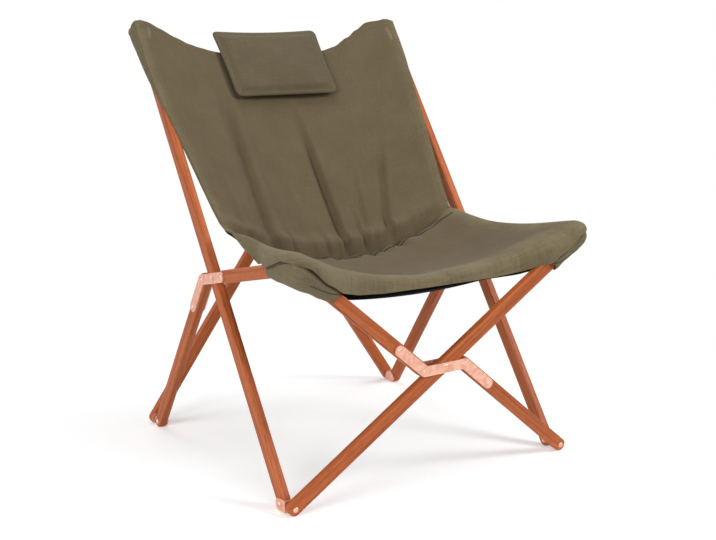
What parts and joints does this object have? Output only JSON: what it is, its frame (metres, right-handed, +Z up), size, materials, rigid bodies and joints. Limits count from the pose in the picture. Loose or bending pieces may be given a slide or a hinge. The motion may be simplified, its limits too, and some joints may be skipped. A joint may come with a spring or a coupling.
{
  "type": "folding butterfly sling chair",
  "caption": "Folding lounge chair with crossed wooden bars, riveted copper plates, a canvas sling on four corners and a head pillow.",
  "frame": {"origin": "on the floor under the middle of the chair's bounding box", "axes": "+Z up, +X to the right as seen from the front, the sitter faces -Y"},
  "size_m": [0.641, 0.7192, 0.8506],
  "materials": {
    "wood": "oiled reddish hardwood",
    "copper": "copper-coloured plated steel",
    "canvas": "olive cotton canvas",
    "lining": "black woven lining"
  },
  "bodies": {
    "left_post": {"left_post": "wood", "left_pivot": "copper", "left_front_foot_side_pin": "copper", "left_back_corner_side_pin": "copper", "left_back_pocket": "canvas"},
    "left_lower": {"left_lower_bar": "wood", "left_plate_outer": "copper", "left_plate_inner": "copper", "left_rear_foot_side_pin": "copper"},
    "left_rail": {"left_seat_rail": "wood", "left_rail_hinge": "copper", "left_seat_corner_side_pin": "copper"},
    "left_front_foot": {"left_front_foot_bracket": "copper"},
    "front_through": {"front_bar_through": "wood", "front_pivot": "copper", "left_front_foot_panel_pin": "copper", "right_seat_corner_panel_pin": "copper"},
    "front_split": {"front_bar_lower": "wood", "front_bar_upper": "wood", "front_plate_front": "copper", "front_plate_back": "copper", "right_front_foot_panel_pin": "copper", "left_seat_corner_panel_pin": "copper"},
    "right_front_foot": {"right_front_foot_bracket": "copper"},
    "right_post": {"right_post": "wood", "right_pivot": "copper", "right_front_foot_side_pin": "copper", "right_back_corner_side_pin": "copper", "right_back_pocket": "canvas"},
    "right_lower": {"right_lower_bar": "wood", "right_plate_outer": "copper", "right_plate_inner": "copper", "right_rear_foot_side_pin": "copper"},
    "right_rail": {"right_seat_rail": "wood", "right_rail_hinge": "copper", "right_seat_corner_side_pin": "copper"},
    "left_seat_corner": {"left_seat_corner_bracket": "copper", "left_seat_pocket": "canvas"},
    "right_seat_corner": {"right_seat_corner_bracket": "copper", "right_seat_pocket": "canvas"},
    "left_back_corner": {"left_back_corner_bracket": "copper"},
    "rear_split": {"rear_bar_lower": "wood", "rear_bar_upper": "wood", "rear_plate_front": "copper", "rear_plate_back": "copper", "left_back_corner_panel_pin": "copper", "right_rear_foot_panel_pin": "copper"},
    "rear_through": {"rear_bar_through": "wood", "rear_pivot": "copper", "left_rear_foot_panel_pin": "copper", "right_back_corner_panel_pin": "copper"},
    "left_rear_foot": {"left_rear_foot_bracket": "copper"},
    "right_rear_foot": {"right_rear_foot_bracket": "copper"},
    "right_back_corner": {"right_back_corner_bracket": "copper"},
    "sling_back": {"sling_back": "canvas", "sling_back_lining": "lining"},
    "sling_seat": {"sling_seat": "canvas", "sling_seat_lining": "lining"},
    "head_pillow": {"head_pillow": "canvas"}
  },
  "joints": [
    {"name": "left_cross", "type": "hinge", "parent": "left_post", "child": "left_lower", "pos_m": [-0.3, -0.01039, 0.373], "axis": [1, 0, 0], "range_deg": [-36.37, 0]},
    {"name": "left_front_foot_turn", "type": "hinge", "parent": "left_post", "child": "left_front_foot", "pos_m": [-0.3, -0.26088, 0.01248], "axis": [1, 0, 0], "range_deg": [-21.51, 0]},
    {"name": "left_front_foot_swing", "type": "hinge", "parent": "left_front_foot", "child": "front_through", "pos_m": [-0.3, -0.29174, 0.01317], "axis": [0, -0.9942, -0.1075], "range_deg": [0, 30.53]},
    {"name": "chair_fold", "type": "hinge", "parent": "front_through", "child": "front_split", "pos_m": [0, -0.31613, 0.22577], "axis": [0, 0.9942, 0.1075], "range_deg": [0, 60.96], "deforming": ["head_pillow", "left_back_pocket", "left_seat_pocket", "right_back_pocket", "right_seat_pocket", "sling_back", "sling_back_lining", "sling_seat", "sling_seat_lining"]},
    {"name": "right_front_foot_swing", "type": "hinge", "parent": "front_split", "child": "right_front_foot", "pos_m": [0.3, -0.29174, 0.01317], "axis": [0, -0.9942, -0.1075], "range_deg": [0, 30.53]},
    {"name": "right_front_foot_turn", "type": "hinge", "parent": "right_front_foot", "child": "right_post", "pos_m": [0.3, -0.26088, 0.01248], "axis": [1, 0, 0], "range_deg": [0, 21.51]},
    {"name": "right_cross", "type": "hinge", "parent": "right_post", "child": "right_lower", "pos_m": [0.3, -0.01039, 0.373], "axis": [1, 0, 0], "range_deg": [-36.37, 0]},
    {"name": "left_seat_corner_swing", "type": "hinge", "parent": "front_split", "child": "left_seat_corner", "pos_m": [-0.3, -0.33774, 0.43867], "axis": [0, -0.9942, -0.1075], "range_deg": [0, 30.53]},
    {"name": "left_seat_corner_turn", "type": "hinge", "parent": "left_seat_corner", "child": "left_rail", "pos_m": [-0.3, -0.30688, 0.43798], "axis": [1, 0, 0], "range_deg": [-46.49, 0]},
    {"name": "right_seat_corner_swing", "type": "hinge", "parent": "front_through", "child": "right_seat_corner", "pos_m": [0.3, -0.33774, 0.43867], "axis": [0, -0.9942, -0.1075], "range_deg": [-30.53, 0]},
    {"name": "right_seat_corner_turn", "type": "hinge", "parent": "right_seat_corner", "child": "right_rail", "pos_m": [0.3, -0.30688, 0.43798], "axis": [1, 0, 0], "range_deg": [-46.49, 0]},
    {"name": "left_back_corner_turn", "type": "hinge", "parent": "left_post", "child": "left_back_corner", "pos_m": [-0.3, 0.30712, 0.82998], "axis": [1, 0, 0], "range_deg": [-16.17, 0]},
    {"name": "left_back_corner_swing", "type": "hinge", "parent": "left_back_corner", "child": "rear_split", "pos_m": [-0.3, 0.33773, 0.83013], "axis": [0, -0.9997, 0.0232], "range_deg": [-19.11, 0]},
    {"name": "rear_cross", "type": "hinge", "parent": "rear_split", "child": "rear_through", "pos_m": [0, 0.32963, 0.42135], "axis": [0, -0.9997, 0.0232], "range_deg": [0, 38.18]},
    {"name": "left_rear_foot_swing", "type": "hinge", "parent": "rear_through", "child": "left_rear_foot", "pos_m": [-0.3, 0.31873, 0.01263], "axis": [0, -0.9997, 0.0232], "range_deg": [-19.11, 0]},
    {"name": "right_rear_foot_swing", "type": "hinge", "parent": "rear_split", "child": "right_rear_foot", "pos_m": [0.3, 0.31873, 0.01263], "axis": [0, -0.9997, 0.0232], "range_deg": [0, 19.11]},
    {"name": "right_back_corner_turn", "type": "hinge", "parent": "right_post", "child": "right_back_corner", "pos_m": [0.3, 0.30712, 0.82998], "axis": [1, 0, 0], "range_deg": [-16.17, 0]},
    {"name": "sling_back_hang", "type": "hinge", "parent": "left_post", "child": "sling_back", "pos_m": [0, 0.30212, 0.84498], "axis": [1, 0, 0], "range_deg": [0, 10.82]},
    {"name": "sling_crease", "type": "hinge", "parent": "sling_back", "child": "sling_seat", "pos_m": [0, 0.01312, 0.45698], "axis": [1, 0, 0], "range_deg": [-68.06, 0]},
    {"name": "pillow_gather", "type": "slide", "parent": "sling_back", "child": "head_pillow", "axis": [1, 0, 0], "range_m": [-0.1502, 0]}
  ],
  "couplings": [
    {"joint": "left_cross", "follows": "chair_fold", "ratio": -0.59579},
    {"joint": "left_front_foot_turn", "follows": "chair_fold", "ratio": -0.35204},
    {"joint": "left_front_foot_swing", "follows": "chair_fold", "ratio": 0.5},
    {"joint": "right_front_foot_swing", "follows": "chair_fold", "ratio": 0.5},
    {"joint": "right_front_foot_turn", "follows": "chair_fold", "ratio": 0.35204},
    {"joint": "right_cross", "follows": "chair_fold", "ratio": -0.59579},
    {"joint": "left_seat_corner_swing", "follows": "chair_fold", "ratio": 0.5},
    {"joint": "left_seat_corner_turn", "follows": "chair_fold", "ratio": -0.76175},
    {"joint": "right_seat_corner_swing", "follows": "chair_fold", "ratio": -0.5},
    {"joint": "right_seat_corner_turn", "follows": "chair_fold", "ratio": -0.76175},
    {"joint": "left_back_corner_turn", "follows": "chair_fold", "ratio": -0.2644},
    {"joint": "left_back_corner_swing", "follows": "chair_fold", "ratio": -0.31274},
    {"joint": "rear_cross", "follows": "chair_fold", "ratio": 0.62548},
    {"joint": "left_rear_foot_swing", "follows": "chair_fold", "ratio": -0.31274},
    {"joint": "right_rear_foot_swing", "follows": "chair_fold", "ratio": 0.31274},
    {"joint": "right_back_corner_turn", "follows": "chair_fold", "ratio": -0.2644},
    {"joint": "sling_back_hang", "follows": "chair_fold", "ratio": 0.17667},
    {"joint": "sling_crease", "follows": "chair_fold", "ratio": -1.1156},
    {"joint": "pillow_gather", "follows": "chair_fold", "m_per_rad": -0.14098}
  ]
}
